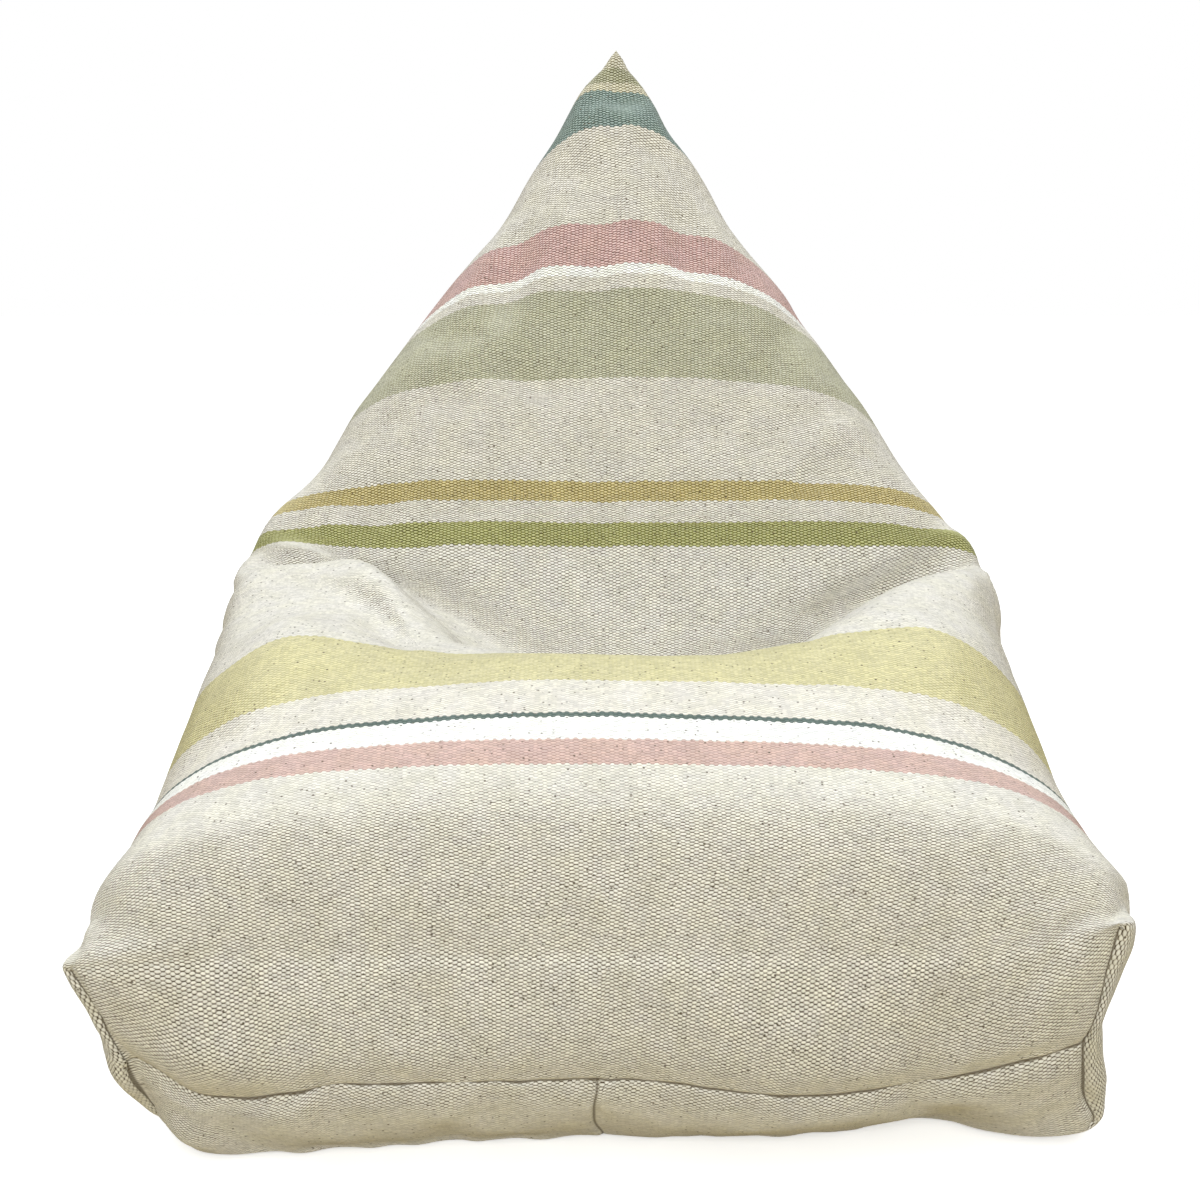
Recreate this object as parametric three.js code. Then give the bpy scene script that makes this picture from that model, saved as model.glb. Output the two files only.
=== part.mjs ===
// A floor pouf of heavy striped canvas, filled loosely, with a seat and a pointed back.
//
// One length of cloth is sewn into a tube. The front end is closed by a straight seam and its
// two corners are boxed. The other end is closed by a seam at right angles to the first, so the
// tube rises to an apex and runs down to a point at the back. Sitting has pressed a hollow in
// the middle, where the back folds up from the seat.
//
// Millimetres, +Z up, front seam towards -Y. The origin is under the middle of the footprint.
import * as THREE from "three";
import { mergeVertices } from "three/addons/utils/BufferGeometryUtils.js";

// The cloth, as it is cut and sewn
const GIRTH = 1816;
const CLOTH_LENGTH = 1140;
const BOX_SEAM = 176;
const FRONT_SEAM = GIRTH / 2 - BOX_SEAM;

// Where the middle of the footprint lies, measured from the middle of the front seam
const FOOTPRINT_MIDDLE = { sideways: 5.3, behind: 506.6 };

// How finely the cloth is divided
const COLUMNS_ACROSS_FRONT = 28;
const COLUMNS_DOWN_BOX_SEAM = 8;
const ROWS = [
  ["from", "to", "rows"],
  [88, 108, 2],
  [108, 350, 13],
  [350, 700, 28],
  [700, 1140, 22],
];
const STEPS_PER_QUARTER_HOOP = 48;

// Hoops of cloth round the tube, from the boxed front to the ridge seam at the back.
// along: cloth from the front seam. behind, up: places in the upright middle plane, behind the
// front seam and above the floor, of the hoop's top, of its foot and of its widest point.
// widest: half the width there. square: 2 is round, more is squarer. lean: middle, sideways.
const HOOPS = [
  ["along", "topBehind", "topUp", "footBehind", "footUp", "widest", "wideBehind",
    "wideUp", "squareTop", "squareFoot", "lean"],
  [88, 10, 178, 53, 4, 352, 26, 90, 16, 16, 2],
  [130, 20, 220, 90, -14, 348, 46, 106, 9, 8, 8],
  [175, 32, 262, 133, -30, 360, 73, 123, 5.2, 3.6, 9],
  [265, 98, 314, 216, -45, 362, 135, 165, 2.75, 2.8, 8],
  [365, 194, 340, 307, -55, 353, 216, 215, 3.2, 2.5, 8],
  [465, 286, 352, 399, -60, 348, 300, 265, 4.6, 2.3, 9],
  [565, 356, 372, 491, -62, 352, 369, 306, 6.4, 2.2, 13],
  [665, 394, 388, 583, -62, 342, 432, 337, 7.4, 2.2, 13],
  [765, 426, 477, 674, -60, 297, 497, 358, 4.7, 2.2, 11],
  [865, 462, 570, 766, -55, 267, 568, 377, 3.2, 2.3, 11],
  [965, 504, 668, 858, -40, 224, 645, 396, 2.5, 2.6, 14],
  [1055, 550, 754, 940, -18, 139, 724, 415, 2.7, 3.4, 16],
  [1112, 575, 808, 992, 2, 54, 776, 430, 4.2, 4.6, 14],
  [1140, 588, 836, 1020, 14, 0, 804, 438, 7, 5, 16],
];

// The hollow that sitting leaves across the cloth. across is measured from the top middle, to
// the right when positive. seat, valley, back: cloth from the front seam where it starts to
// dip, where it lies lowest, and where it meets the back again. The left starts nearer in.
const HOLLOW = [
  ["across", "seat", "valley", "back", "depth"],
  [-300, 664, 680, 704, 0],
  [-228, 590, 650, 694, 10],
  [-190, 510, 614, 690, 29],
  [-160, 436, 588, 686, 48],
  [-130, 372, 564, 682, 66],
  [-90, 356, 545, 682, 84],
  [0, 352, 530, 682, 104],
  [100, 352, 530, 682, 100],
  [150, 366, 540, 682, 88],
  [200, 414, 565, 680, 68],
  [250, 480, 598, 674, 48],
  [300, 555, 632, 672, 15],
  [340, 625, 648, 668, 0],
];

// The boxed corners: each row draws the cloth out or in round one place on an end seam
const CORNERS = [
  ["across", "along", "reach", "sideways", "behind", "up"],
  [-366, 88, 90, -20, -4, 0],
  [366, 88, 100, 2, -4, 34],
  [-392, 88, 70, 11, 0, 0],
  [388, 88, 60, -7, 0, 0],
  [-454, 88, 82, 20, -8, 0],
  [454, 88, 82, -14, -8, 14],
  [-492, 88, 50, 8, 0, 0],
  [504, 88, 60, -8, 0, 0],
  [-542, 88, 70, 25, 10, 4],
  [542, 88, 70, 17, 2, 4],
  [-600, 88, 90, -4, -10, 0],
  [575, 88, 60, 0, -7, 0],
  [-680, 88, 240, 0, -17, 0],
  [660, 88, 110, 0, 20, 0],
];

// How softly the cloth turns at each of these places
const CORNER_SOFTNESS = 5;

// Beside each end seam the cloth rolls out past it. width: how far, at each place across.
const LIPS = [
  ["across", "width"],
  [-560, 0],
  [-535, 6],
  [-500, 9],
  [-440, 6],
  [-400, 10],
  [-375, 12],
  [-352, 3],
  [-300, 0],
  [300, 0],
  [352, 4],
  [375, 12],
  [400, 8],
  [440, 4],
  [470, 3],
  [500, 7],
  [525, 5],
  [570, 0],
];
const LIP_RISE = 7;
const LIP_REACH = 130;

// Folds pressed into the cloth, each from one end to the other. across is measured from the
// top middle, to the right of it when positive. A depth below zero stands proud.
const FOLDS = [
  ["acrossFrom", "alongFrom", "acrossTo", "alongTo", "bow", "width", "depth"],
  [-328, 602, -176, 610, 0, 36, 23],
  [-276, 704, -124, 496, 0, 32, 6],
  [150, 585, 318, 652, 0, 30, 14],
  [-310, 545, -70, 335, 0, 62, 13],
  [-200, 455, -90, 330, 0, 40, 6],
  [-262, 290, -225, 570, 0, 64, -14],
  [215, 280, 290, 620, 0, 85, -21],
  [290, 610, 360, 470, 0, 22, 5],
  [-66, 1015, -108, 850, 0, 34, 15],
  [48, 1010, 88, 870, 0, 30, 9],
  [-318, 650, -332, 790, 0, 66, -10],
  [334, 590, 318, 700, 0, 60, -8],
  [-545, 110, -365, 110, 0, 30, -17],
  [365, 110, 530, 110, 0, 30, -5],
  [440, 110, 570, 110, 0, 30, -12],
];

// The front panel between the two end seams, and the seam across it
const FRONT_BULGE = 23;
const FRONT_SEAM_DRAW = 4;
const FRONT_SEAM_DRAW_WIDTH = 0.11;

// The seam hangs lower near both corners: where across, how far, and how widely
const SEAM_SAGS = [
  ["across", "depth", "reach"],
  [-310, 27, 118],
  [190, 17, 180],
];

const clamp01 = (value) => THREE.MathUtils.clamp(value, 0, 1);

// One in the middle, falling smoothly to nothing at a distance of one
const dome = (distance) => (1 - clamp01(Math.abs(distance)) ** 2) ** 2;

// A table whose first row names its columns, as a list of named rows
function namedRows([names, ...rows]) {
  return rows.map((row) => Object.fromEntries(names.map((name, i) => [name, row[i]])));
}

const hoops = namedRows(HOOPS);
const hollow = namedRows(HOLLOW);
const corners = namedRows(CORNERS);
const lips = namedRows(LIPS);
const seamSags = namedRows(SEAM_SAGS);
const folds = namedRows(FOLDS);

// The slope of one column at one row of a table, for a smooth run from row to row
function slopeAt(rows, key, column, i) {
  const rate = (a, b) => (rows[b][column] - rows[a][column]) / (rows[b][key] - rows[a][key]);
  if (i === 0) return rate(0, 1);
  if (i === rows.length - 1) return rate(i - 1, i);
  const before = rows[i][key] - rows[i - 1][key];
  const after = rows[i + 1][key] - rows[i][key];
  return (rate(i - 1, i) * after + rate(i, i + 1) * before) / (before + after);
}

// A row for any value of the key column, smoothly between the rows of the table
function rowAt(rows, key, value) {
  const next = rows.findIndex((row) => row[key] > value);
  const i = next === -1 ? rows.length - 2 : Math.max(next - 1, 0);
  const [from, to] = [rows[i], rows[i + 1]];
  const span = to[key] - from[key];
  const t = clamp01((value - from[key]) / span);
  const row = {};
  for (const column of Object.keys(from)) {
    row[column] = from[column] * (2 * t ** 3 - 3 * t ** 2 + 1)
      + slopeAt(rows, key, column, i) * span * (t ** 3 - 2 * t ** 2 + t)
      + to[column] * (3 * t ** 2 - 2 * t ** 3)
      + slopeAt(rows, key, column, i + 1) * span * (t ** 3 - t ** 2);
  }
  return row;
}

// Half of a hoop, from its top middle round its widest point to the middle of the underside.
// What would dip below the floor is pressed flat against it.
function halfHoop(hoop) {
  const points = [];
  const quarter = (square, endBehind, endUp, turn) => {
    const out = hoop.widest * Math.sin(turn) ** (2 / square);
    const towardsEnd = Math.cos(turn) ** (2 / square);
    points.push(new THREE.Vector3(
      out,
      THREE.MathUtils.lerp(hoop.wideBehind, endBehind, towardsEnd),
      Math.max(THREE.MathUtils.lerp(hoop.wideUp, endUp, towardsEnd), 0),
    ));
  };
  for (let step = 0; step <= STEPS_PER_QUARTER_HOOP; step++) {
    const turn = (Math.PI / 2) * (step / STEPS_PER_QUARTER_HOOP);
    quarter(hoop.squareTop, hoop.topBehind, hoop.topUp, turn);
  }
  for (let step = STEPS_PER_QUARTER_HOOP - 1; step >= 0; step--) {
    const turn = (Math.PI / 2) * (step / STEPS_PER_QUARTER_HOOP);
    quarter(hoop.squareFoot, hoop.footBehind, hoop.footUp, turn);
  }
  return points;
}

// The places across the cloth where it is divided, once round the tube from its top middle
function placesRound() {
  const edge = FRONT_SEAM / 2;
  const places = [];
  const divide = (from, to, steps) => {
    for (let step = 0; step < steps; step++) places.push(from + ((to - from) * step) / steps);
  };
  divide(0, edge, COLUMNS_ACROSS_FRONT / 2);
  divide(edge, edge + BOX_SEAM, COLUMNS_DOWN_BOX_SEAM);
  divide(edge + BOX_SEAM, GIRTH / 2, COLUMNS_ACROSS_FRONT / 2);
  const mirrored = places.slice(1).reverse().map((across) => -across);
  return [...places, GIRTH / 2, ...mirrored];
}

// The point a given length of cloth round a half hoop, as a share of the whole
function pointAtShare(points, share) {
  const lengths = [0];
  for (let i = 1; i < points.length; i++) {
    lengths.push(lengths[i - 1] + points[i].distanceTo(points[i - 1]));
  }
  const wanted = share * lengths.at(-1);
  const i = Math.max(lengths.findIndex((length) => length >= wanted), 1);
  const step = lengths[i] - lengths[i - 1];
  const t = step > 0 ? (wanted - lengths[i - 1]) / step : 0;
  return points[i - 1].clone().lerp(points[i], t);
}

function pressHollow(point, across, along) {
  const { seat, valley, back, depth } = rowAt(hollow, "across", across);
  const reach = along < valley ? valley - seat : back - valley;
  const pressed = Math.max(depth, 0) * dome((along - valley) / reach);
  point.y += 0.05 * pressed;
  point.z -= pressed;
}

function drawCorners(point, across, along) {
  for (const corner of corners) {
    const away = Math.hypot(across - corner.across, along - corner.along);
    const distance = Math.hypot(away, CORNER_SOFTNESS) - CORNER_SOFTNESS;
    const share = (1 - clamp01(distance / corner.reach)) ** 1.5;
    point.x += share * corner.sideways;
    point.y += share * corner.behind;
    point.z += share * corner.up;
  }
}

function rollLips(point, across, along) {
  const behind = along - BOX_SEAM / 2;
  const width = Math.max(rowAt(lips, "across", across).width, 0);
  const rolled = (1 - Math.exp(-behind / LIP_RISE)) * dome(behind / LIP_REACH);
  point.x += Math.sign(across) * width * rolled;
}

// How deep the folds press the cloth at one place
function foldDepth(across, along) {
  let depth = 0;
  for (const fold of folds) {
    const run = new THREE.Vector2(fold.acrossTo - fold.acrossFrom, fold.alongTo - fold.alongFrom);
    const length = run.length();
    run.normalize();
    const place = new THREE.Vector2(across - fold.acrossFrom, along - fold.alongFrom);
    const t = place.dot(run) / length;
    if (t <= 0 || t >= 1) continue;
    const bowed = fold.bow * 4 * t * (1 - t) * Math.sign(run.x);
    const off = place.cross(run) * -1 + bowed;
    depth += fold.depth * dome(off / fold.width) * Math.sqrt(dome(2 * t - 1));
  }
  return depth;
}

// The tube as a grid of points: rings[row][column], from the boxed front to the ridge seam
function tubeRings(places) {
  const rings = [];
  const alongs = [BOX_SEAM / 2];
  for (const { from, to, rows } of namedRows(ROWS)) {
    for (let row = 1; row <= rows; row++) alongs.push(from + ((to - from) * row) / rows);
  }
  for (const along of alongs) {
    const hoop = rowAt(hoops, "along", along);
    const half = halfHoop(hoop);
    rings.push(places.map((across) => {
      const point = pointAtShare(half, Math.abs(across) / (GIRTH / 2));
      point.x = Math.sign(across) * point.x + hoop.lean;
      pressHollow(point, across, along);
      drawCorners(point, across, along);
      rollLips(point, across, along);
      return point;
    }));
  }
  return { rings, alongs };
}

// Presses the folds in, square to the cloth
function pressFolds({ rings, alongs }, places) {
  const count = places.length;
  const normals = rings.map((ring, row) => ring.map((_, column) => {
    const ahead = rings[Math.min(row + 1, rings.length - 1)][column];
    const behind = rings[Math.max(row - 1, 0)][column];
    const right = ring[(column + 1) % count];
    const left = ring[(column + count - 1) % count];
    return right.clone().sub(left).cross(ahead.clone().sub(behind)).normalize();
  }));
  rings.forEach((ring, row) => ring.forEach((point, column) => {
    point.addScaledVector(normals[row][column], -foldDepth(places[column], alongs[row]));
    point.z = Math.max(point.z, 0);
  }));
}

// The front panel, stretched between the edges of the tube's first ring: its top edge, the two
// end seams and its bottom edge. It bulges a little, and the front seam is drawn in across it.
function frontPanel(ring) {
  const half = COLUMNS_ACROSS_FRONT / 2;
  const down = COLUMNS_DOWN_BOX_SEAM;
  const at = (column) => ring[(column + ring.length) % ring.length];
  const top = (column) => at(column - half);
  const right = (row) => at(half + row);
  const left = (row) => at(-half - row);
  const bottom = (column) => at(2 * half + down + half - column);
  const edgePoint = (row, column) => {
    if (row === 0) return top(column);
    if (row === down) return bottom(column);
    return column === 0 ? left(row) : right(row);
  };
  const panel = [];
  for (let row = 0; row <= down; row++) {
    const v = row / down;
    const line = [];
    for (let column = 0; column <= 2 * half; column++) {
      const h = column / (2 * half);
      const point = new THREE.Vector3()
        .addScaledVector(top(column), 1 - v)
        .addScaledVector(bottom(column), v)
        .addScaledVector(left(row), 1 - h)
        .addScaledVector(right(row), h)
        .addScaledVector(top(0), -(1 - h) * (1 - v))
        .addScaledVector(top(2 * half), -h * (1 - v))
        .addScaledVector(bottom(0), -(1 - h) * v)
        .addScaledVector(bottom(2 * half), -h * v);
      const towardsSide = Math.abs(2 * h - 1);
      point.y -= FRONT_BULGE * (1 - towardsSide ** 4) * Math.sin(Math.PI * v) ** 1.1;
      const seam = dome((v - 0.5) / FRONT_SEAM_DRAW_WIDTH) * (1 - towardsSide ** 8);
      point.y += FRONT_SEAM_DRAW * seam;
      const across = (2 * h - 1) * (FRONT_SEAM / 2);
      for (const sag of seamSags) {
        const share = dome((across - sag.across) / sag.reach) * dome(2 * v - 1);
        point.z -= sag.depth * share * (1 - towardsSide ** 8);
      }
      const edge = row === 0 || row === down || column === 0 || column === 2 * half;
      line.push(edge ? edgePoint(row, column) : point);
    }
    panel.push(line);
  }
  return panel;
}

// One closed body: the tube and the front panel. The ridge seam closes by itself, because the
// last ring lies in the middle plane and its two halves meet there.
function filledCoverGeometry() {
  const places = placesRound();
  const tube = tubeRings(places);
  pressFolds(tube, places);
  const positions = [];
  const addTriangle = (...points) => {
    for (const { x, y, z } of points) positions.push(x, y, z);
  };
  const { rings } = tube;
  for (let row = 0; row < rings.length - 1; row++) {
    for (let column = 0; column < places.length; column++) {
      const next = (column + 1) % places.length;
      const [a, b] = [rings[row][column], rings[row][next]];
      const [c, d] = [rings[row + 1][next], rings[row + 1][column]];
      addTriangle(a, b, c);
      addTriangle(a, c, d);
    }
  }
  const panel = frontPanel(rings[0]);
  for (let row = 0; row < COLUMNS_DOWN_BOX_SEAM; row++) {
    for (let column = 0; column < COLUMNS_ACROSS_FRONT; column++) {
      const [a, b] = [panel[row][column], panel[row][column + 1]];
      const [c, d] = [panel[row + 1][column + 1], panel[row + 1][column]];
      addTriangle(a, d, c);
      addTriangle(a, c, b);
    }
  }
  const geometry = new THREE.BufferGeometry();
  geometry.setAttribute("position", new THREE.Float32BufferAttribute(positions, 3));
  geometry.translate(-FOOTPRINT_MIDDLE.sideways, -FOOTPRINT_MIDDLE.behind, 0);
  const merged = mergeVertices(geometry, 1e-3);
  merged.computeVertexNormals();
  return merged;
}

const canvas = new THREE.MeshStandardMaterial({
  name: "striped_canvas",
  color: 0xd7d0be,
  roughness: 0.95,
  metalness: 0,
});

const filledCover = new THREE.Mesh(filledCoverGeometry(), canvas);
filledCover.name = "filled_cover";

const pouf = new THREE.Group();
pouf.name = "striped_floor_pouf";
pouf.add(filledCover);

export default pouf;
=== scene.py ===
# A floor pouf of heavy striped canvas, loosely filled, standing on a pale studio floor.
# The sections follow the making: the filled cover, then the floor, the light and the camera.
import math

import bpy
import numpy as np
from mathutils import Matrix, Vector, noise


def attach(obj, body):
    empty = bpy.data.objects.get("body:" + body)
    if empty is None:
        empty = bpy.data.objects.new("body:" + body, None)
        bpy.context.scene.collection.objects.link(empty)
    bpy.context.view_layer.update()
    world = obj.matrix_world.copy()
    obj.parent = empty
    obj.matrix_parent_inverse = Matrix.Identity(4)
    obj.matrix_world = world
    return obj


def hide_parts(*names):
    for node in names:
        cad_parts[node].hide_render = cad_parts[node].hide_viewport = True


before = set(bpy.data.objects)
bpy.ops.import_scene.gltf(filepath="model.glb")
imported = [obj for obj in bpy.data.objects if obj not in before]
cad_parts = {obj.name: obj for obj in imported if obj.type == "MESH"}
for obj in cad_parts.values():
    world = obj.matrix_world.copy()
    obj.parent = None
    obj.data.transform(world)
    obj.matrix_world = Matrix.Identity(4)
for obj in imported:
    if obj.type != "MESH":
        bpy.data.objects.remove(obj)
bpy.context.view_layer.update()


# The filled cover. The real one is a single length of plain-woven cotton canvas, sewn into a
# wide tube and filled with loose beads. The front end is closed by a straight seam and its two
# corners are boxed, the other end by a seam at right angles to the first, which makes the
# pointed back. Sitting has pressed a hollow in the middle. All sizes here are in millimetres.

GIRTH = 1816.0
CLOTH_LENGTH = 1140.0
BOX_SEAM = 176.0
FRONT_SEAM = GIRTH / 2 - BOX_SEAM
FOOTPRINT_MIDDLE = (5.3, 506.6)

# Hoops of cloth round the tube, from the boxed front to the ridge seam at the back.
# along: cloth from the front seam. behind, up: places in the upright middle plane, behind the
# front seam and above the floor, of the hoop's top, of its foot and of its widest point.
# widest: half the width there. square: 2 is round, more is squarer. lean: middle, sideways.
HOOPS = [
    ("along", "top_behind", "top_up", "foot_behind", "foot_up", "widest", "wide_behind",
     "wide_up", "square_top", "square_foot", "lean"),
    (88, 10, 178, 53, 4, 352, 26, 90, 16, 16, 2),
    (130, 20, 220, 90, -14, 348, 46, 106, 9, 8, 8),
    (175, 32, 262, 133, -30, 360, 73, 123, 5.2, 3.6, 9),
    (265, 98, 314, 216, -45, 362, 135, 165, 2.75, 2.8, 8),
    (365, 194, 340, 307, -55, 353, 216, 215, 3.2, 2.5, 8),
    (465, 286, 352, 399, -60, 348, 300, 265, 4.6, 2.3, 9),
    (565, 356, 372, 491, -62, 352, 369, 306, 6.4, 2.2, 13),
    (665, 394, 388, 583, -62, 342, 432, 337, 7.4, 2.2, 13),
    (765, 426, 477, 674, -60, 297, 497, 358, 4.7, 2.2, 11),
    (865, 462, 570, 766, -55, 267, 568, 377, 3.2, 2.3, 11),
    (965, 504, 668, 858, -40, 224, 645, 396, 2.5, 2.6, 14),
    (1055, 550, 754, 940, -18, 139, 724, 415, 2.7, 3.4, 16),
    (1112, 575, 808, 992, 2, 54, 776, 430, 4.2, 4.6, 14),
    (1140, 588, 836, 1020, 14, 0, 804, 438, 7, 5, 16),
]

# The hollow that sitting leaves across the cloth. across is measured from the top middle, to
# the right when positive. seat, valley, back: cloth from the front seam where it starts to
# dip, where it lies lowest, and where it meets the back again. The left starts nearer in.
HOLLOW = [
    ("across", "seat", "valley", "back", "depth"),
    (-300, 664, 680, 704, 0),
    (-228, 590, 650, 694, 10),
    (-190, 510, 614, 690, 29),
    (-160, 436, 588, 686, 48),
    (-130, 372, 564, 682, 66),
    (-90, 356, 545, 682, 84),
    (0, 352, 530, 682, 104),
    (100, 352, 530, 682, 100),
    (150, 366, 540, 682, 88),
    (200, 414, 565, 680, 68),
    (250, 480, 598, 674, 48),
    (300, 555, 632, 672, 15),
    (340, 625, 648, 668, 0),
]
HOLLOW_BACKWARDS = 0.05

# The boxed corners: each row draws the cloth out or in round one place on an end seam
CORNERS = [
    ("across", "along", "reach", "sideways", "behind", "up"),
    (-366, 88, 90, -20, -4, 0),
    (366, 88, 100, 2, -4, 34),
    (-392, 88, 70, 11, 0, 0),
    (388, 88, 60, -7, 0, 0),
    (-454, 88, 82, 20, -8, 0),
    (454, 88, 82, -14, -8, 14),
    (-492, 88, 50, 8, 0, 0),
    (504, 88, 60, -8, 0, 0),
    (-542, 88, 70, 25, 10, 4),
    (542, 88, 70, 17, 2, 4),
    (-600, 88, 90, -4, -10, 0),
    (575, 88, 60, 0, -7, 0),
    (-680, 88, 240, 0, -17, 0),
    (660, 88, 110, 0, 20, 0),
]

# How softly the cloth turns at each of these places
CORNER_SOFTNESS = 5.0

# Beside each end seam the cloth rolls out past it. width: how far, at each place across. The
# roll rises within a short distance of the seam and dies away at its reach.
LIPS = [
    ("across", "width"),
    (-560, 0),
    (-535, 6),
    (-500, 9),
    (-440, 6),
    (-400, 10),
    (-375, 12),
    (-352, 3),
    (-300, 0),
    (300, 0),
    (352, 4),
    (375, 12),
    (400, 8),
    (440, 4),
    (470, 3),
    (500, 7),
    (525, 5),
    (570, 0),
]
LIP_RISE = 7.0
LIP_REACH = 130.0

# Folds pressed into the cloth, each from one end to the other. across is measured from the
# top middle, to the right of it when positive. A depth below zero stands proud.
FOLDS = [
    ("across_from", "along_from", "across_to", "along_to", "bow", "width", "depth"),
    (-328, 602, -176, 610, 0, 36, 23),
    (-276, 704, -124, 496, 0, 32, 6),
    (150, 585, 318, 652, 0, 30, 14),
    (-310, 545, -70, 335, 0, 62, 13),
    (-200, 455, -90, 330, 0, 40, 6),
    (-262, 290, -225, 570, 0, 64, -14),
    (215, 280, 290, 620, 0, 85, -21),
    (290, 610, 360, 470, 0, 22, 5),
    (-66, 1015, -108, 850, 0, 34, 15),
    (48, 1010, 88, 870, 0, 30, 9),
    (-318, 650, -332, 790, 0, 66, -10),
    (334, 590, 318, 700, 0, 60, -8),
    (-545, 110, -365, 110, 0, 30, -17),
    (365, 110, 530, 110, 0, 30, -5),
    (440, 110, 570, 110, 0, 30, -12),
]

# Finer creases, which the filled shape itself doesn't need
CREASES = [
    ("across_from", "along_from", "across_to", "along_to", "bow", "width", "depth"),
    (-298, 655, -208, 622, 6, 15, -4),
    (-258, 638, -160, 466, 0, 22, -6),
    (-268, 528, -148, 388, -17, 28, 9),
    (160, 600, 322, 668, 0, 15, 7),
    (-350, 690, -322, 566, 0, 34, -5),
    (296, 600, 322, 450, 0, 16, 6),
    (318, 520, 338, 420, 0, 14, 5),
    (-8, 1055, -26, 800, 0, 24, 9),
    (52, 1015, 60, 905, 0, 18, 4),
    (163, 930, 140, 830, 0, 20, 5),
    (105, 730, 200, 815, 0, 16, 2.5),
    (135, 720, 225, 800, 0, 14, -2.5),
    (200, 150, 252, 102, 0, 16, 3),
    (-45, 142, 30, 142, 0, 22, 2),
    (-125, 96, -25, 122, 4, 14, 2),
    (70, 198, 84, 170, 0, 8, 1.5),
]

# The same on the front panel, with the place down it measured from the front seam
PANEL_CREASES = [
    ("across_from", "along_from", "across_to", "along_to", "bow", "width", "depth"),
    (-366, -64, -236, -20, 0, 20, -6),
    (-386, 4, -228, 34, 0, 66, 15),
    (-352, 44, -262, 76, 0, 24, -8),
    (170, -70, 240, -42, 0, 14, 2),
    (296, -34, 368, -24, 0, 10, 3),
    (306, -14, 368, -6, 0, 8, 2),
    (290, 22, 368, 34, 0, 12, 3),
]

# The front panel between the two end seams bulges, and the seam across it is drawn in
FRONT_BULGE = 23.0
FRONT_SEAM_DRAW = 4.0
FRONT_SEAM_DRAW_WIDTH = 0.11

# The seam hangs lower near both corners: where across, how far, and how widely
SEAM_SAGS = [
    ("across", "depth", "reach"),
    (-310, 27, 118),
    (190, 17, 180),
]


def columns_of(table):
    """A table whose first row names its columns, as a dict of arrays."""
    names, *rows = table
    return dict(zip(names, np.array(rows, float).T))


def dome(distance):
    """One in the middle, falling smoothly to nothing at a distance of one."""
    return (1 - np.clip(np.abs(distance), 0, 1) ** 2) ** 2


def row_at(table, key, value):
    """The row of a table for any value of its key column, smoothly between the given rows."""
    keys = table[key]
    i = int(np.clip(np.searchsorted(keys, value, side="right") - 1, 0, len(keys) - 2))
    span = keys[i + 1] - keys[i]
    t = min(max((value - keys[i]) / span, 0.0), 1.0)
    row = {}
    for name, column in table.items():
        rate = np.diff(column) / np.diff(keys)
        step = np.diff(keys)
        inner = (rate[:-1] * step[1:] + rate[1:] * step[:-1]) / (step[1:] + step[:-1])
        slope = np.concatenate([rate[:1], inner, rate[-1:]])
        row[name] = (column[i] * (2 * t**3 - 3 * t**2 + 1) + slope[i] * span * (t**3 - 2 * t**2 + t)
                     + column[i + 1] * (3 * t**2 - 2 * t**3) + slope[i + 1] * span * (t**3 - t**2))
    return row


def half_hoop(hoop):
    """Half a hoop of cloth, from its top middle round to the middle of the underside."""
    turn = np.linspace(0, np.pi / 2, 61)

    def quarter(square, behind, up):
        out = hoop["widest"] * np.sin(turn) ** (2 / square)
        share = np.clip(np.cos(turn), 0, 1) ** (2 / square)
        y = hoop["wide_behind"] + (behind - hoop["wide_behind"]) * share
        z = hoop["wide_up"] + (up - hoop["wide_up"]) * share
        return np.stack([out, y, np.maximum(z, 0)], axis=1)

    upper = quarter(hoop["square_top"], hoop["top_behind"], hoop["top_up"])
    lower = quarter(hoop["square_foot"], hoop["foot_behind"], hoop["foot_up"])
    return np.vstack([upper, lower[::-1][1:]])


def spaced(start, end, step):
    """Places from one seam to the next, about a step apart but closer beside each seam."""
    near = np.array([0, 2, 5])
    inner = np.linspace(start + 10, end - 10, round((end - start - 20) / step) + 1)
    return np.concatenate([start + near, inner, (end - near)[::-1]])


def places_round(front, box):
    """The places across the cloth, once round the tube from its top middle."""
    right = np.concatenate([front[:-1], box[:-1], GIRTH / 2 - front[::-1]])
    return np.concatenate([right, -right[1:-1][::-1]])


def tube_points(places, alongs):
    """Where each place of the cloth lies: an array of hoops, columns and x, y, z."""
    hoops = columns_of(HOOPS)
    tube = np.zeros((len(alongs), len(places), 3))
    for row, along in enumerate(alongs):
        hoop = row_at(hoops, "along", along)
        half = half_hoop(hoop)
        lengths = np.concatenate([[0], np.cumsum(np.linalg.norm(np.diff(half, axis=0), axis=1))])
        wanted = np.abs(places) / (GIRTH / 2) * lengths[-1]
        tube[row, :, 0] = np.sign(places) * np.interp(wanted, lengths, half[:, 0]) + hoop["lean"]
        tube[row, :, 1] = np.interp(wanted, lengths, half[:, 1])
        tube[row, :, 2] = np.interp(wanted, lengths, half[:, 2])
    return tube


def press_hollow(tube, places, alongs):
    hollow = columns_of(HOLLOW)
    for column, across in enumerate(places):
        row = row_at(hollow, "across", across)
        towards_seat, towards_back = row["valley"] - row["seat"], row["back"] - row["valley"]
        reach = np.where(alongs < row["valley"], towards_seat, towards_back)
        pressed = max(row["depth"], 0) * dome((alongs - row["valley"]) / reach)
        tube[:, column, 1] += HOLLOW_BACKWARDS * pressed
        tube[:, column, 2] -= pressed


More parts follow.
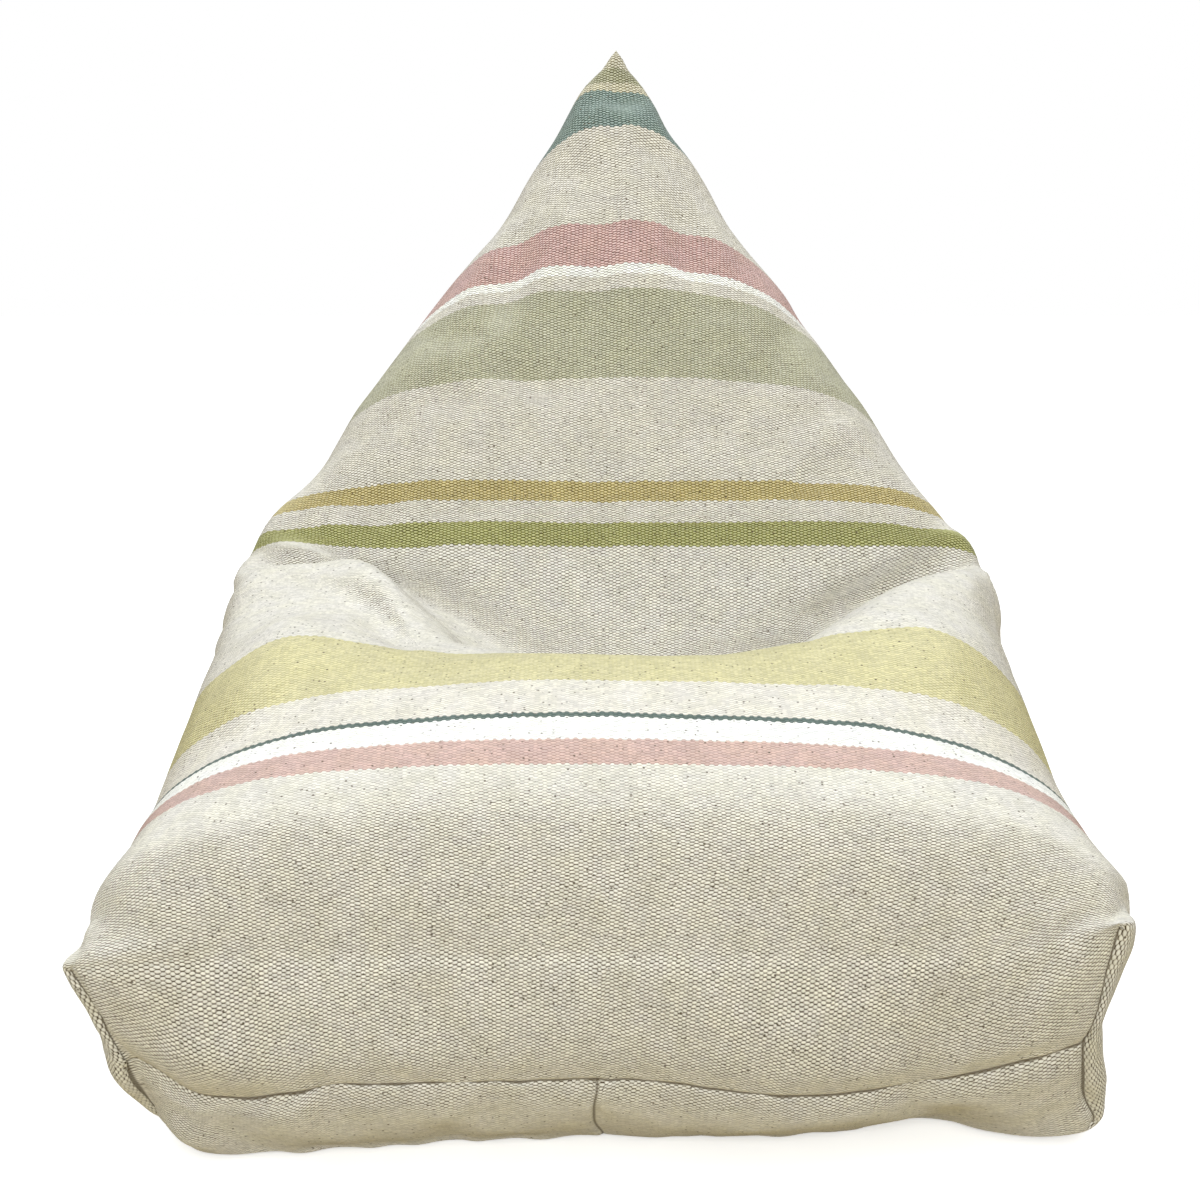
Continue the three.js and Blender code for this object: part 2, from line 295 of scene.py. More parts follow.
def draw_corners(tube, places, alongs):
    corners = columns_of(CORNERS)
    for n in range(len(corners["across"])):
        corner = {name: column[n] for name, column in corners.items()}
        distance = np.hypot(places[None, :] - corner["across"], alongs[:, None] - corner["along"])
        distance = np.hypot(distance, CORNER_SOFTNESS) - CORNER_SOFTNESS
        share = (1 - np.clip(distance / corner["reach"], 0, 1)) ** 1.5
        tube += share[..., None] * np.array([corner["sideways"], corner["behind"], corner["up"]])


def roll_lips(tube, places, alongs):
    lips = columns_of(LIPS)
    behind = alongs - BOX_SEAM / 2
    rolled = (1 - np.exp(-behind / LIP_RISE)) * dome(behind / LIP_REACH)
    for column, across in enumerate(places):
        tube[:, column, 0] += np.sign(across) * max(row_at(lips, "across", across)["width"], 0) * rolled


def outward(grid, closed):
    """The outward direction at each point of a grid of rows and columns."""
    if closed:
        side = np.roll(grid, -1, axis=1) - np.roll(grid, 1, axis=1)
    else:
        side = np.gradient(grid, axis=1)
    normal = np.cross(side, np.gradient(grid, axis=0))
    return normal / (np.linalg.norm(normal, axis=-1, keepdims=True) + 1e-9)


def fold_depth(table, across, along):
    """How deep a table of folds presses the cloth at each place."""
    folds = columns_of(table)
    depth = np.zeros(np.broadcast(across, along).shape)
    for n in range(len(folds["bow"])):
        fold = {name: column[n] for name, column in folds.items()}
        run = np.array([fold["across_to"] - fold["across_from"], fold["along_to"] - fold["along_from"]])
        length = np.hypot(*run)
        run = run / length
        x = across - fold["across_from"]
        y = along - fold["along_from"]
        t = (x * run[0] + y * run[1]) / length
        bowed = fold["bow"] * 4 * t * (1 - t) * np.sign(run[0])
        off = y * run[0] - x * run[1] + bowed
        strength = np.where((t > 0) & (t < 1), np.sqrt(dome(2 * t - 1)), 0)
        depth += fold["depth"] * dome(off / fold["width"]) * strength
    return depth


def front_panel(ring, front, box):
    """The panel between the two end seams, stretched between the edges of the first hoop."""
    half, down = len(front) - 1, len(box) - 1
    count = np.arange(-half, half + 1)
    top = ring[count]
    bottom = ring[2 * half + down - count]
    right = ring[half + np.arange(down + 1)]
    left = ring[-half - np.arange(down + 1)]
    v = ((box - box[0]) / (box[-1] - box[0]))[:, None, None]
    across = np.concatenate([-front[::-1], front[1:]]) / front[-1]
    h = ((1 + across) / 2)[None, :, None]
    panel = ((1 - v) * top[None] + v * bottom[None] + (1 - h) * left[:, None] + h * right[:, None]
             - (1 - h) * (1 - v) * top[0] - h * (1 - v) * top[-1]
             - (1 - h) * v * bottom[0] - h * v * bottom[-1])
    to_side = np.abs(across)[None, :]
    v = v[..., 0]
    panel[..., 1] -= FRONT_BULGE * (1 - to_side**4) * np.sin(np.pi * v) ** 1.1
    panel[..., 1] += FRONT_SEAM_DRAW * dome((v - 0.5) / FRONT_SEAM_DRAW_WIDTH) * (1 - to_side**8)
    sags = columns_of(SEAM_SAGS)
    for place, depth, reach in zip(sags["across"], sags["depth"], sags["reach"]):
        sag = dome((across * front[-1] - place) / reach)[None, :]
        panel[..., 2] -= depth * sag * dome(2 * v - 1) * (1 - to_side**8)
    panel[0], panel[-1], panel[:, 0], panel[:, -1] = top, bottom, left, right
    return panel


# The cloth is divided about every step, once round the tube and along it
STEP = 11
front = spaced(0, FRONT_SEAM / 2, STEP)
box = spaced(FRONT_SEAM / 2, GIRTH / 4, STEP)
box = np.concatenate([box, spaced(GIRTH / 4, FRONT_SEAM / 2 + BOX_SEAM, STEP)[1:]])
places = places_round(front, box)
alongs = spaced(BOX_SEAM / 2, CLOTH_LENGTH, STEP)
tube = tube_points(places, alongs)
press_hollow(tube, places, alongs)
draw_corners(tube, places, alongs)
roll_lips(tube, places, alongs)
creased = fold_depth(CREASES, places[None, :], alongs[:, None])
folded = fold_depth(FOLDS, places[None, :], alongs[:, None])
tube -= outward(tube, True) * (folded + creased)[..., None]
tube[..., 2] = np.maximum(tube[..., 2], 0)
panel = front_panel(tube[0], front, box)
across_panel = np.concatenate([-front[::-1], front[1:]])
down_panel = box - GIRTH / 4
panel_creased = fold_depth(PANEL_CREASES, across_panel[None, :], down_panel[:, None])
panel_creased[[0, -1]] = 0
panel_creased[:, [0, -1]] = 0
panel += outward(panel, False) * panel_creased[..., None]

# The cloth runs from the seat over the panel's upper edge without a fold, so the rows on both
# sides of that edge are eased towards a straight run, less so near the corners.
ROLL_ROWS = 7
ROLL_ROUNDS = 60
over_edge = np.arange(1 - len(front), len(front))
eased = (1 - (np.abs(over_edge) / len(front)) ** 8)[None, :, None] / 2
rolled = np.concatenate([tube[ROLL_ROWS:0:-1, over_edge], panel[:ROLL_ROWS + 1]])
cloth_down = np.concatenate([alongs[0] - alongs[ROLL_ROWS:0:-1], box[:ROLL_ROWS + 1] - box[0]])
from_above = (cloth_down[1:-1] - cloth_down[:-2]) / (cloth_down[2:] - cloth_down[:-2])
from_above = from_above[:, None, None]
for _ in range(ROLL_ROUNDS):
    straight = (1 - from_above) * rolled[:-2] + from_above * rolled[2:]
    rolled[1:-1] += eased * (straight - rolled[1:-1])
tube[ROLL_ROWS:0:-1, over_edge] = rolled[:ROLL_ROWS]
panel[:ROLL_ROWS + 1] = rolled[ROLL_ROWS:]
tube[0, over_edge] = panel[0]

# What each point of the cloth notes down for later: its distance from each seam, and how deep
# the creases are there
NOTED = ("to_box", "to_front", "to_under", "to_ridge", "creased")


def seam_distances(along, across, down=None):
    """How far a place is from the box seams, the front seam, the underside seam, the ridge."""
    edge = FRONT_SEAM / 2
    if down is not None:
        return edge - abs(across), abs(down), abs(across) if down >= 0 else edge, CLOTH_LENGTH
    out = abs(abs(across) - GIRTH / 4)
    beside = max(out - BOX_SEAM / 2, 0)
    behind = along - BOX_SEAM / 2
    to_front = math.hypot(behind, out) if beside == 0 else along
    return math.hypot(behind, beside), to_front, GIRTH / 2 - abs(across), CLOTH_LENGTH - along


def cover_mesh():
    """The cloth as one closed mesh, with the cloth's own metres as its UV map."""
    count, half, down, last = len(places), len(front) - 1, len(box) - 1, len(alongs) - 1
    points, index, faces, uvs = [], {}, [], []

    def add_point(key, xyz, noted):
        if key not in index:
            index[key] = len(points)
            points.append((*xyz, *noted))
        return index[key]

    def tube_point(row, column):
        column %= count
        if row == last and column > count // 2:
            column = count - column
        noted = (*seam_distances(alongs[row], places[column]), abs(creased[row, column]))
        return add_point(("tube", row, column), tube[row, column], noted)

    def panel_point(row, column):
        if row == 0:
            return tube_point(0, column - half)
        if row == down:
            return tube_point(0, 3 * half + down - column)
        if column in (0, 2 * half):
            return tube_point(0, -half - row if column == 0 else half + row)
        from_seams = seam_distances(0, across_panel[column], down_panel[row])
        noted = (*from_seams, abs(panel_creased[row, column]))
        return add_point(("panel", row, column), panel[row, column], noted)

    for row in range(last):
        for column in range(count):
            left = places[column] if column != count // 2 else -GIRTH / 2
            right = places[column + 1] if column + 1 < count else 0.0
            near, far = alongs[row], alongs[row + 1]
            faces.append([tube_point(row, column), tube_point(row, column + 1),
                          tube_point(row + 1, column + 1), tube_point(row + 1, column)])
            uvs += [(left, near), (right, near), (right, far), (left, far)]
    for row in range(down):
        for column in range(2 * half):
            corners = [(row, column), (row + 1, column), (row + 1, column + 1), (row, column + 1)]
            faces.append([panel_point(*corner) for corner in corners])
            for r, c in corners:
                under = (GIRTH / 2 if column >= half else -GIRTH / 2) - across_panel[c]
                uvs.append((across_panel[c] if row < down / 2 else under, abs(down_panel[r])))

    points = np.array(points)
    xyz = (points[:, :3] - (*FOOTPRINT_MIDDLE, 0)) / 1000
    mesh = bpy.data.meshes.new("filled_cover_cloth")
    mesh.from_pydata(xyz.tolist(), [], faces)
    layer = mesh.uv_layers.new(name="cloth")
    layer.data.foreach_set("uv", (np.array(uvs) / 1000).ravel())
    for n, name in enumerate(NOTED):
        values = points[:, 3 + n].astype("f")
        mesh.attributes.new(name, "FLOAT", "POINT").data.foreach_set("value", values)
    sharp = mesh.attributes.new("crease_vert", "FLOAT", "POINT")
    for corner in (half, half + down, count - half, count - half - down):
        sharp.data[index["tube", 0, corner]].value = 1.0
    sharp.data[index["tube", last, 0]].value = 1.0
    mesh.update()
    return mesh


for thing in bpy.context.selected_objects:
    thing.select_set(False)
cover = bpy.data.objects.new("striped_cover", cover_mesh())
bpy.context.scene.collection.objects.link(cover)
bpy.context.view_layer.objects.active = cover
cover.select_set(True)
bpy.ops.object.shade_smooth()


def places_of(mesh):
    xyz = np.empty(len(mesh.vertices) * 3)
    mesh.vertices.foreach_get("co", xyz)
    return xyz.reshape(-1, 3)


def reading(mesh, name):
    values = np.empty(len(mesh.vertices), "f")
    mesh.attributes[name].data.foreach_get("value", values)
    return values


def normals_of(mesh):
    normals = np.empty(len(mesh.vertices) * 3)
    mesh.vertex_normals.foreach_get("vector", normals)
    return normals.reshape(-1, 3)


def local_part(mesh, move, rounds=20):
    """What is left of a movement of the cloth when its broad, smooth part is taken away."""
    ends = np.empty(len(mesh.edges) * 2, int)
    mesh.edges.foreach_get("vertices", ends)
    a, b = ends.reshape(-1, 2).T
    size = len(move)
    beside_count = np.bincount(ends, minlength=size)[:, None]
    broad = move
    for _ in range(rounds):
        beside = np.stack([np.bincount(a, broad[b, axis], size) + np.bincount(b, broad[a, axis], size)
                           for axis in range(3)], axis=1)
        broad = (broad + beside / beside_count) / 2
    return move - broad


# The filling presses the cloth outwards between its seams, its creases and the floor. Cloth
# simulation, from a slightly smaller shape. The beads inside keep the large form, so only the
# local billows are kept, with no point let further than the limit.
BILLOW_LIMIT = 7.0
BILLOW_START = 3.0
BILLOW_FRAMES = 20
FREE_OF_SEAM = 40
FREE_OF_BOX_SEAM = 50
FREE_OF_RIDGE = 60
CREASE_HOLDS = 0.8
CREASE_DEEP = 3
first = places_of(cover.data)
noted = {name: reading(cover.data, name) for name in NOTED}
from_seam = np.min([noted[name] for name in ("to_box", "to_front", "to_ridge")], axis=0)
on_floor = first[:, 2] < 0.0005
smaller = BILLOW_START * np.clip(from_seam / FREE_OF_SEAM, 0, 1) * ~on_floor
start = first - normals_of(cover.data) * smaller[:, None] / 1000
cover.data.vertices.foreach_set("co", start.ravel())
held = cover.vertex_groups.new(name="sewn_or_on_the_floor")
held.add(np.flatnonzero((from_seam < 1) | on_floor).tolist(), 1.0, "REPLACE")
cloth = cover.modifiers.new("filling", "CLOTH")
cloth.settings.quality = 6
cloth.settings.mass = 0.3
cloth.settings.tension_stiffness = 25
cloth.settings.compression_stiffness = 25
cloth.settings.shear_stiffness = 10
cloth.settings.bending_stiffness = 3
cloth.settings.use_pressure = True
cloth.settings.uniform_pressure_force = 4
cloth.settings.shrink_min = -0.012
cloth.settings.vertex_group_mass = held.name
cloth.settings.effector_weights.gravity = 0
cloth.point_cache.frame_start = 1
cloth.point_cache.frame_end = BILLOW_FRAMES
for step in range(1, BILLOW_FRAMES + 1):
    bpy.context.scene.frame_set(step)
settled = places_of(cover.evaluated_get(bpy.context.evaluated_depsgraph_get()).data)
cover.modifiers.remove(cloth)
bpy.context.scene.frame_set(1)
move = local_part(cover.data, settled - start)
distance = np.linalg.norm(move, axis=1) * 1000
limit = BILLOW_LIMIT * (1 - CREASE_HOLDS * np.clip(noted["creased"] / CREASE_DEEP, 0, 1))
free_of_box = np.clip(noted["to_box"] / FREE_OF_BOX_SEAM, 0.2, 1)
limit *= free_of_box * np.clip(noted["to_ridge"] / FREE_OF_RIDGE, 0.1, 1)
share = limit * np.tanh(distance / limit) / np.maximum(distance, 1e-6)
settled = first + move * share[:, None]
settled[:, 2] = np.maximum(settled[:, 2], 0)
cover.data.vertices.foreach_set("co", settled.ravel())
cover.data.update()
cover.vertex_groups.clear()

finer = cover.modifiers.new("finer", "SUBSURF")
finer.levels = 1
finer.render_levels = 1
bpy.ops.object.modifier_apply(modifier=finer.name)

# Each seam is a narrow gap with the cloth drawn in beside it and puckered by the stitches
# inside, and the canvas is uneven all over, as it is when loose beads lie behind it. A gap has
# a depth and a width, a pucker a depth and a reach, and the unevenness a size and a depth.
FRONT_GAP = (1.4, 2.0)
FRONT_DRAW = (3.4, 11.0)
BOX_GAP = (4.0, 3.6)
RIDGE_GAP = (1.6, 2.4)
UNDER_GAP = (0.7, 1.8)
PUCKER_LENGTH = 17.0
PUCKER_STRETCH = 0.15
FRONT_PUCKER = (0.5, 14)
RIDGE_PUCKER = (1.0, 22)
BOX_PUCKER = (1.2, 14)
FLOOR_KEEPS = 12
UNEVENNESS = ((170.0, 2.2), (75.0, 1.5), (30.0, 0.5))
TIP_REACH = 45.0


def wander(x, y, z, size, seed):
    """Smooth noise from -1 to 1 at each place, of the given size in millimetres."""
    shift = Vector((seed * 7.3, seed * 3.1, seed * 5.7))
    return np.array([noise.noise(Vector(p) / size + shift) for p in zip(x, y, z)])


def finish_surface():
    mesh = cover.data
    xyz = places_of(mesh)
    normals = normals_of(mesh)
    to_box, to_front, to_under, to_ridge, _ = (reading(mesh, name) for name in NOTED)
    x, y, z = (xyz * 1000).T
    apex = xyz[np.argmax(xyz[:, 2])] * 1000
    from_tip = np.clip(np.hypot(np.hypot(x - apex[0], y - apex[1]), z - apex[2]) / TIP_REACH, 0, 1)

    def groove(distance, depth, width):
        return depth * np.exp(-((distance / width) ** 2))

    def puckered(waves, distance, depth, reach):
        return waves * np.exp(-distance / reach) * depth

    inwards = groove(to_front, *FRONT_GAP) + groove(to_front, *FRONT_DRAW)
    inwards += groove(to_ridge, *RIDGE_GAP) * from_tip
    inwards += groove(to_under, *UNDER_GAP) + groove(to_box, *BOX_GAP)
    stretched_x, stretched_y, stretched_z = x * PUCKER_STRETCH, y * PUCKER_STRETCH, z * PUCKER_STRETCH
    across_front = wander(x, stretched_y, stretched_z, PUCKER_LENGTH, 1)
    across_ridge = wander(stretched_x, y, z, PUCKER_LENGTH * 1.4, 2)
    across_box = wander(stretched_x, stretched_y, z, PUCKER_LENGTH, 3)
    pucker = puckered(across_front, to_front, *FRONT_PUCKER)
    pucker += puckered(across_ridge, to_ridge, *RIDGE_PUCKER) * from_tip
    pucker += puckered(across_box, to_box, *BOX_PUCKER)
    inwards += pucker
    for n, (size, depth) in enumerate(UNEVENNESS):
        inwards += depth * wander(x, y, z, size, 4 + n)
    keep = np.clip(z / FLOOR_KEEPS, 0, 1)
    xyz -= normals * (inwards * keep)[:, None] / 1000
    xyz[:, 2] = np.maximum(xyz[:, 2], 0)
    mesh.vertices.foreach_set("co", xyz.ravel())
    mesh.update()
    ridge_line = np.hypot(to_ridge, 0.5) + 6 * (1 - from_tip)
    sewn = np.min([to_front, to_box, np.hypot(to_under, 0.6), ridge_line], axis=0)
    mesh.attributes.new("from_seam", "FLOAT", "POINT").data.foreach_set("value", sewn.astype("f"))
    # How far each point faces up, which sets how much painted shade the weave's gaps and float flanks get
    upward = normals_of(mesh)[:, 2]
    mesh.attributes.new("upward", "FLOAT", "POINT").data.foreach_set("value", upward.astype("f"))


finish_surface()

# The canvas: plain weave, thick weft packed over a thin warp, so that only the weft shows, as
# rows of short floats that lie brickwise. Its colour changes from one pick to the next, which
# makes the stripes. Each starts at its distance along the cloth from the front seam. The gaps
# between floats are painted with brown shade, and specks of seed husk lie in some of the yarns.
END_SPACING = 3.1
PICK_SPACING = 1.22
STRIPES = [
    ("from_mm", "colour"),
    (0, (231, 228, 220)),
    (224, (214, 188, 180)),
    (247, (250, 250, 247)),
    (270, (108, 124, 118)),
    (274, (232, 228, 219)),
    (316, (219, 213, 172)),
    (391, (231, 228, 220)),
    (655, (190, 190, 141)),
    (681, (231, 228, 220)),
    (700, (209, 198, 154)),
    (721, (231, 228, 220)),
    (815, (207, 206, 187)),
    (900, (231, 228, 220)),
    (915, (250, 250, 247)),
    (925, (221, 196, 192)),
    (966, (231, 228, 220)),
    (1056, (163, 178, 173)),
    (1097, (222, 218, 200)),
    (1105, (194, 193, 170)),
    (1121, (218, 214, 198)),
]
# Colour of the painted shade in the gaps between floats
WEAVE_GAP_SHADE = (0.085, 0.052, 0.026)
FLECK = (0.10, 0.075, 0.045)
# Colour of the painted shade in the sewn gap along each seam
SEAM_GAP_SHADE = (0.12, 0.095, 0.06)


def linear(colour):
    """A colour of three numbers up to 255, as the shader reads it."""
    shares = [c / 255 for c in colour]
    return tuple(c / 12.92 if c <= 0.04 else ((c + 0.055) / 1.055) ** 2.4 for c in shares)


def striped_canvas():
    material = bpy.data.materials.new("striped_canvas")
    material.use_nodes = True
    tree = material.node_tree
    tree.nodes.clear()

    def add(kind, **settings):
        made = tree.nodes.new(kind)
        for name, value in settings.items():
            setattr(made, name, value)
        return made

    def feed(socket, value):
        if isinstance(value, bpy.types.NodeSocket):
            tree.links.new(value, socket)
        else:
            socket.default_value = value

    def calc(operation, *values):
        made = add("ShaderNodeMath", operation=operation)
        for socket, value in zip(made.inputs, values):
            feed(socket, value)
        return made.outputs[0]

    def ranged(value, low, high, to_low, to_high):
        made = add("ShaderNodeMapRange", interpolation_type="SMOOTHSTEP")
        for socket, given in zip(made.inputs, (value, low, high, to_low, to_high)):
            feed(socket, given)
        return made.outputs[0]

    def place(x, y, z=0.0):
        made = add("ShaderNodeCombineXYZ")
        for socket, value in zip(made.inputs, (x, y, z)):
            feed(socket, value)
        return made.outputs[0]

    def cloudy(vector, scale, detail=2.0):
        made = add("ShaderNodeTexNoise")
        feed(made.inputs["Vector"], vector)
        feed(made.inputs["Scale"], scale)
        feed(made.inputs["Detail"], detail)
        return made.outputs["Fac"]

    def blend(kind, share, a, b):
        made = add("ShaderNodeMix", data_type="RGBA", blend_type=kind)
        feed(made.inputs[0], share)
        feed(made.inputs[6], a)
        feed(made.inputs[7], b)
        return made.outputs[2]

    def either(second, a, b):
        made = add("ShaderNodeMix", data_type="FLOAT")
        feed(made.inputs[0], second)
        feed(made.inputs[2], a)
        feed(made.inputs[3], b)
        return made.outputs[0]

    cloth = add("ShaderNodeUVMap", uv_map="cloth").outputs[0]
    split = add("ShaderNodeSeparateXYZ")
    feed(split.inputs[0], cloth)
    across, along = split.outputs[0], split.outputs[1]
    upward = add("ShaderNodeAttribute", attribute_name="upward").outputs["Fac"]
    from_seam = add("ShaderNodeAttribute", attribute_name="from_seam").outputs["Fac"]

    wobble = calc("MULTIPLY", calc("SUBTRACT", cloudy(cloth, 150.0), 0.5), 1.1)
    ends = calc("ADD", calc("DIVIDE", across, END_SPACING / 1000), wobble)
    drift = calc("MULTIPLY", calc("SUBTRACT", cloudy(cloth, 60.0), 0.5), 2.2)
    picks = calc("ADD", calc("DIVIDE", along, PICK_SPACING / 1000), drift)

    def nearest_float(odd):
        """Where the nearest float of the even or the odd picks is, and how far from its middle."""
        half_end = calc("MULTIPLY_ADD", ends, 0.5, odd / 2)
        half_pick = calc("MULTIPLY_ADD", picks, 0.5, odd / 2)
        end, pick = calc("ROUND", half_end), calc("ROUND", half_pick)
        off_end = calc("MULTIPLY", calc("SUBTRACT", half_end, end), 2.0)
        off_pick = calc("MULTIPLY", calc("SUBTRACT", half_pick, pick), 2.0)
        sideways, upwards = calc("MULTIPLY", off_end, off_end), calc("MULTIPLY", off_pick, off_pick)
        distance = calc("MULTIPLY_ADD", sideways, 2.3, upwards)
        end, pick = calc("MULTIPLY_ADD", end, 2.0, -odd), calc("MULTIPLY_ADD", pick, 2.0, -odd)
        return end, pick, off_end, off_pick, distance

    # Each place takes the nearer of two floats, and bulges near the middle of it. The bulge's top lies a
    # little above the float's middle, so the painted shade of the gaps falls mostly beneath each float, as
    # under light from above.
    even, odd = nearest_float(0), nearest_float(1)
    use_odd = calc("LESS_THAN", odd[4], even[4])
    end, pick, off_end, off_pick = (either(use_odd, a, b) for a, b in zip(even[:4], odd[:4]))
    beside = calc("MULTIPLY", calc("MULTIPLY", off_end, off_end), 1.5)
    above = calc("ADD", off_pick, -0.28)
    bulge = calc("SUBTRACT", calc("SUBTRACT", 1.0, beside), calc("MULTIPLY", above, above))
    chance = add("ShaderNodeTexWhiteNoise", noise_dimensions="2D")
    feed(chance.inputs["Vector"], place(end, pick))
    drawn = add("ShaderNodeSeparateColor")
    feed(drawn.inputs[0], chance.outputs["Color"])

    stripes = add("ShaderNodeValToRGB")
    ramp = stripes.color_ramp
    ramp.interpolation = "CONSTANT"
    names, *rows = STRIPES
    for n, (start, colour) in enumerate(rows):
        place_on_ramp = start / CLOTH_LENGTH
        stop = ramp.elements[n] if n < 2 else ramp.elements.new(place_on_ramp)
        stop.position = place_on_ramp
        stop.color = (*linear(colour), 1)
    feed(stripes.inputs[0], calc("DIVIDE", calc("MULTIPLY", pick, PICK_SPACING), CLOTH_LENGTH))
    dyed = stripes.outputs[0]

    # Painted shade in the weave, in the gaps between floats and on each float's flanks. It shows most
    # where the cloth stands upright and the light falls across it, and less where the cloth faces up into
    # the light or down towards the floor.
    shade_fades_facing_up = ranged(upward, 0.5, 0.88, 1.0, 0.28)
    shade_fades_facing_down = ranged(upward, -0.55, -0.05, 0.35, 1.0)
    weave_shade_by_facing = calc("MULTIPLY", shade_fades_facing_up, shade_fades_facing_down)
    gap_shade_strength = calc("MULTIPLY", ranged(drawn.outputs[0], 0.0, 1.0, 0.8, 1.5), weave_shade_by_facing)
    # Painted shade on the flanks of each float, which darkens its dyed colour by itself
    edge = calc("MULTIPLY", ranged(bulge, 0.5, 0.95, 1.0, 0.0), weave_shade_by_facing)
    gap = calc("MULTIPLY", ranged(bulge, -0.1, 0.62, 1.0, 0.0), gap_shade_strength)
    gapped = blend("MULTIPLY", gap, blend("MULTIPLY", edge, dyed, dyed), (*WEAVE_GAP_SHADE, 1))

    # No two yarns are quite the same shade, and neither are two floats
    slubs = cloudy(place(calc("MULTIPLY", across, 45.0), calc("MULTIPLY", pick, 0.61)), 1.0, 1.0)
    blotched = ranged(cloudy(cloth, 26.0, 3.0), 0.3, 0.7, 0.965, 1.03)
    shade = calc("MULTIPLY", ranged(slubs, 0.25, 0.75, 0.955, 1.03), blotched)
    shade = calc("MULTIPLY", shade, ranged(drawn.outputs[1], 0.0, 1.0, 0.90, 1.06))
    warm = calc("MULTIPLY", shade, ranged(cloudy(cloth, 47.0), 0.3, 0.7, 0.95, 1.0))
    shaded = blend("MULTIPLY", 1.0, gapped, place(shade, shade, warm))

    def flecks(across_scale, along_scale, size, share, strength):
        """Specks of seed husk in the cotton, caught in some of the yarns."""
        specks = add("ShaderNodeTexVoronoi", feature="F1")
        sideways, lengthways = calc("MULTIPLY", across, across_scale), calc("MULTIPLY", along, along_scale)
        feed(specks.inputs["Vector"], place(sideways, lengthways))
        feed(specks.inputs["Scale"], 1.0)
        luck = add("ShaderNodeSeparateColor")
        feed(luck.inputs[0], specks.outputs["Color"])
        near = ranged(specks.outputs["Distance"], size * 0.4, size, 1.0, 0.0)
        there = ranged(luck.outputs[0], 1 - share, 1.0, 0.0, 1.0)
        return calc("MULTIPLY", calc("MULTIPLY", near, strength), there)

    large, small = flecks(85.0, 105.0, 0.085, 0.8, 0.95), flecks(230.0, 300.0, 0.28, 0.5, 1.0)
    speck = calc("MAXIMUM", large, small)
    flecked = blend("MIX", speck, shaded, (*FLECK, 1))
    # A dark line along each seam: painted shade in the sewn gap
    seam_shade = calc("MULTIPLY", ranged(from_seam, 0.55, 1.5, 1.0, 0.0), 0.85)
    coloured = blend("MIX", seam_shade, flecked, (*SEAM_GAP_SHADE, 1))

    bump = add("ShaderNodeBump")
    feed(bump.inputs["Strength"], 0.5)
    feed(bump.inputs["Distance"], 0.0005)
    feed(bump.inputs["Height"], calc("ADD", bulge, calc("MULTIPLY", slubs, 0.4)))

    cloth_shader = add("ShaderNodeBsdfPrincipled")
    feed(cloth_shader.inputs["Base Color"], coloured)
    feed(cloth_shader.inputs["Roughness"], ranged(gap, 0.0, 1.0, 0.86, 1.0))
    feed(cloth_shader.inputs["Normal"], bump.outputs[0])
    cloth_shader.inputs["Specular IOR Level"].default_value = 0.2
    cloth_shader.inputs["Sheen Weight"].default_value = 0.1
    cloth_shader.inputs["Sheen Roughness"].default_value = 0.6
    output = add("ShaderNodeOutputMaterial")
    tree.links.new(cloth_shader.outputs[0], output.inputs[0])
    return material


cover.data.materials.append(striped_canvas())
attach(cover, "root")
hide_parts("filled_cover")


# The floor: a plain pale studio sweep, matt, wide enough to fill the picture. What it throws
# back on the cloth is the khaki shade that the photograph shows near the floor.

bpy.ops.object.select_all(action="DESELECT")
bpy.ops.mesh.primitive_plane_add(size=30)
floor = bpy.context.active_object
floor.name = "studio_floor"
floor_paint = bpy.data.materials.new("floor_paint")
floor_paint.use_nodes = True
floor_nodes = floor_paint.node_tree
floor_shader = floor_nodes.nodes["Principled BSDF"]
floor_shader.inputs["Roughness"].default_value = 0.9
floor_shader.inputs["Emission Color"].default_value = (1, 1, 1, 1)
seen = floor_nodes.nodes.new("ShaderNodeLightPath").outputs["Is Camera Ray"]
floor_colour = floor_nodes.nodes.new("ShaderNodeMix")
floor_colour.data_type = "RGBA"
floor_colour.inputs[6].default_value = (0.33, 0.24, 0.04, 1)
floor_colour.inputs[7].default_value = (0.95, 0.95, 0.95, 1)
floor_glow = floor_nodes.nodes.new("ShaderNodeMath")
floor_glow.operation = "MULTIPLY"
floor_glow.inputs[1].default_value = 0.4
floor_nodes.links.new(seen, floor_colour.inputs[0])
floor_nodes.links.new(seen, floor_glow.inputs[0])
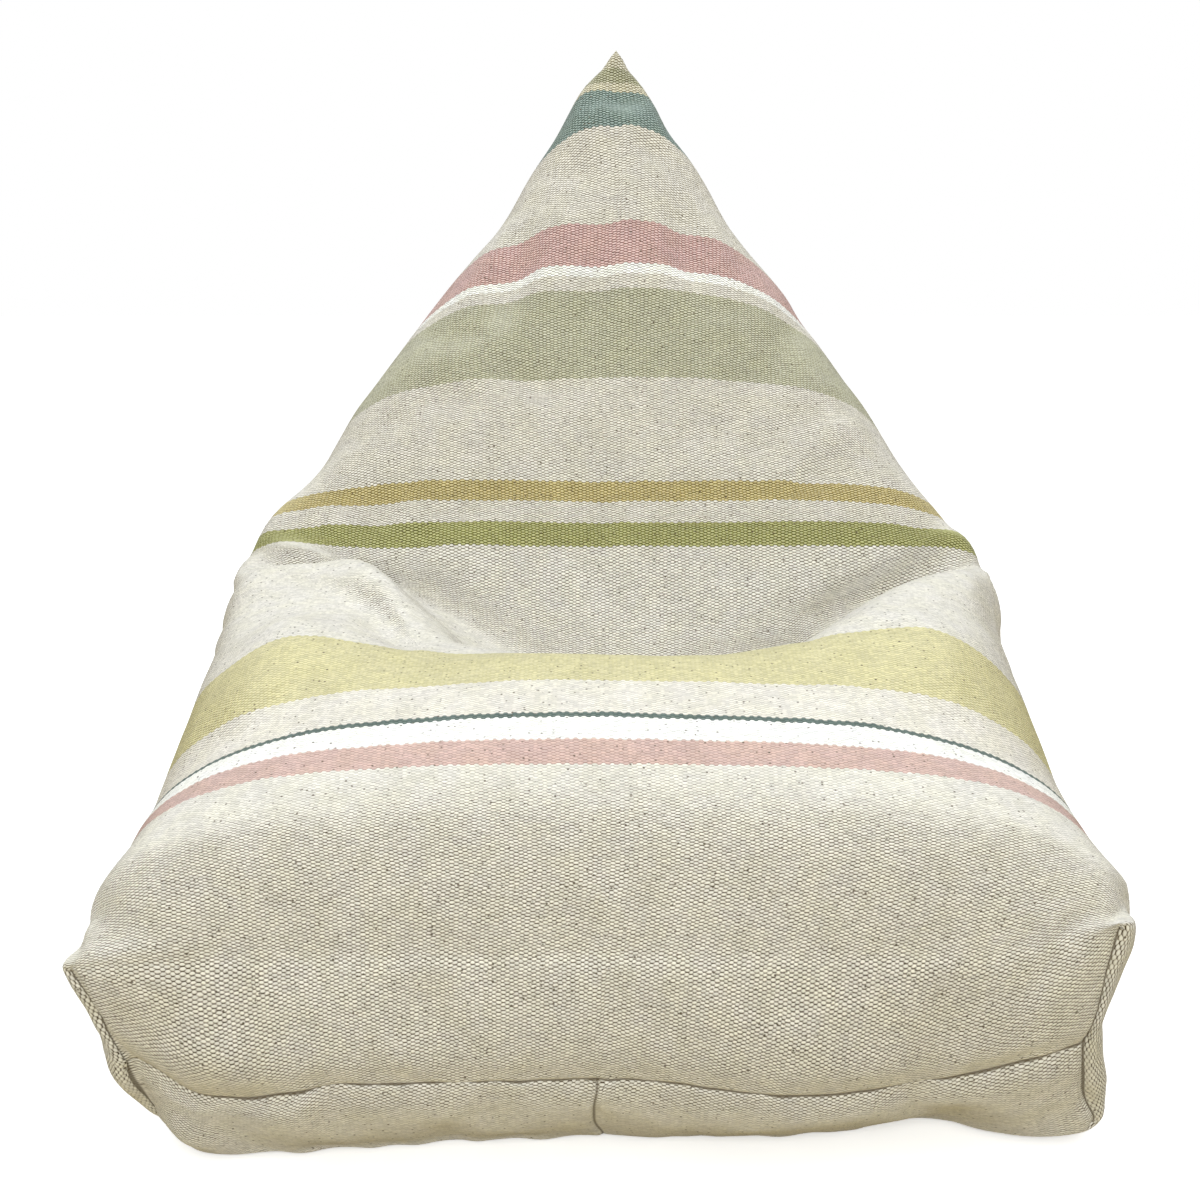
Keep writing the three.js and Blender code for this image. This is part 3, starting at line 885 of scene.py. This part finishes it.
floor_nodes.links.new(floor_colour.outputs[2], floor_shader.inputs["Base Color"])
floor_nodes.links.new(floor_glow.outputs[0], floor_shader.inputs["Emission Strength"])
floor.data.materials.append(floor_paint)


# The light: a white room, one broad soft light in front, and weaker ones above and at both
# sides. The lights are a little cool, which brings the natural cotton to the photographed tone.

world = bpy.data.worlds.new("white_room")
world.use_nodes = True
room = world.node_tree
light_path = room.nodes.new("ShaderNodeLightPath")
brightness = room.nodes.new("ShaderNodeMapRange")
brightness.inputs["To Min"].default_value = 0.68
brightness.inputs["To Max"].default_value = 1.0
room.links.new(light_path.outputs["Is Camera Ray"], brightness.inputs["Value"])
room.links.new(brightness.outputs[0], room.nodes["Background"].inputs["Strength"])
room.nodes["Background"].inputs["Color"].default_value = (1, 1, 1, 1)
bpy.context.scene.world = world
LIGHT_TINT = (0.93, 0.97, 1.0)


def soft_light(name, place, aim, size, watts):
    light = bpy.data.lights.new(name, "AREA")
    light.shape = "RECTANGLE"
    light.size, light.size_y = size
    light.energy = watts
    light.color = LIGHT_TINT
    lamp = bpy.data.objects.new(name, light)
    lamp.location = place
    lamp.rotation_euler = (Vector(aim) - Vector(place)).to_track_quat("-Z", "Y").to_euler()
    bpy.context.scene.collection.objects.link(lamp)


soft_light("overhead_light", (0.0, -0.5, 2.5), (0, 0, 0.3), (2.0, 1.4), 10)
soft_light("front_light", (0.0, -2.7, 1.7), (0, -0.3, 0.35), (2.4, 1.4), 45)
soft_light("left_light", (-1.8, 0.2, 2.2), (0, 0, 0.3), (1.4, 1.4), 8)
soft_light("right_light", (1.8, 0.2, 2.2), (0, 0, 0.3), (1.4, 1.4), 8)


# The camera, in front and a little above, as the photograph was taken.

camera = bpy.data.objects.new("camera", bpy.data.cameras.new("camera"))
camera.data.lens = 37.5
camera.data.sensor_width = 36
camera.location = (-0.0053, -1.2486, 0.63)
camera.rotation_euler = (math.radians(75), 0, 0)
bpy.context.scene.collection.objects.link(camera)
bpy.context.scene.camera = camera
bpy.context.scene.view_settings.view_transform = "Standard"
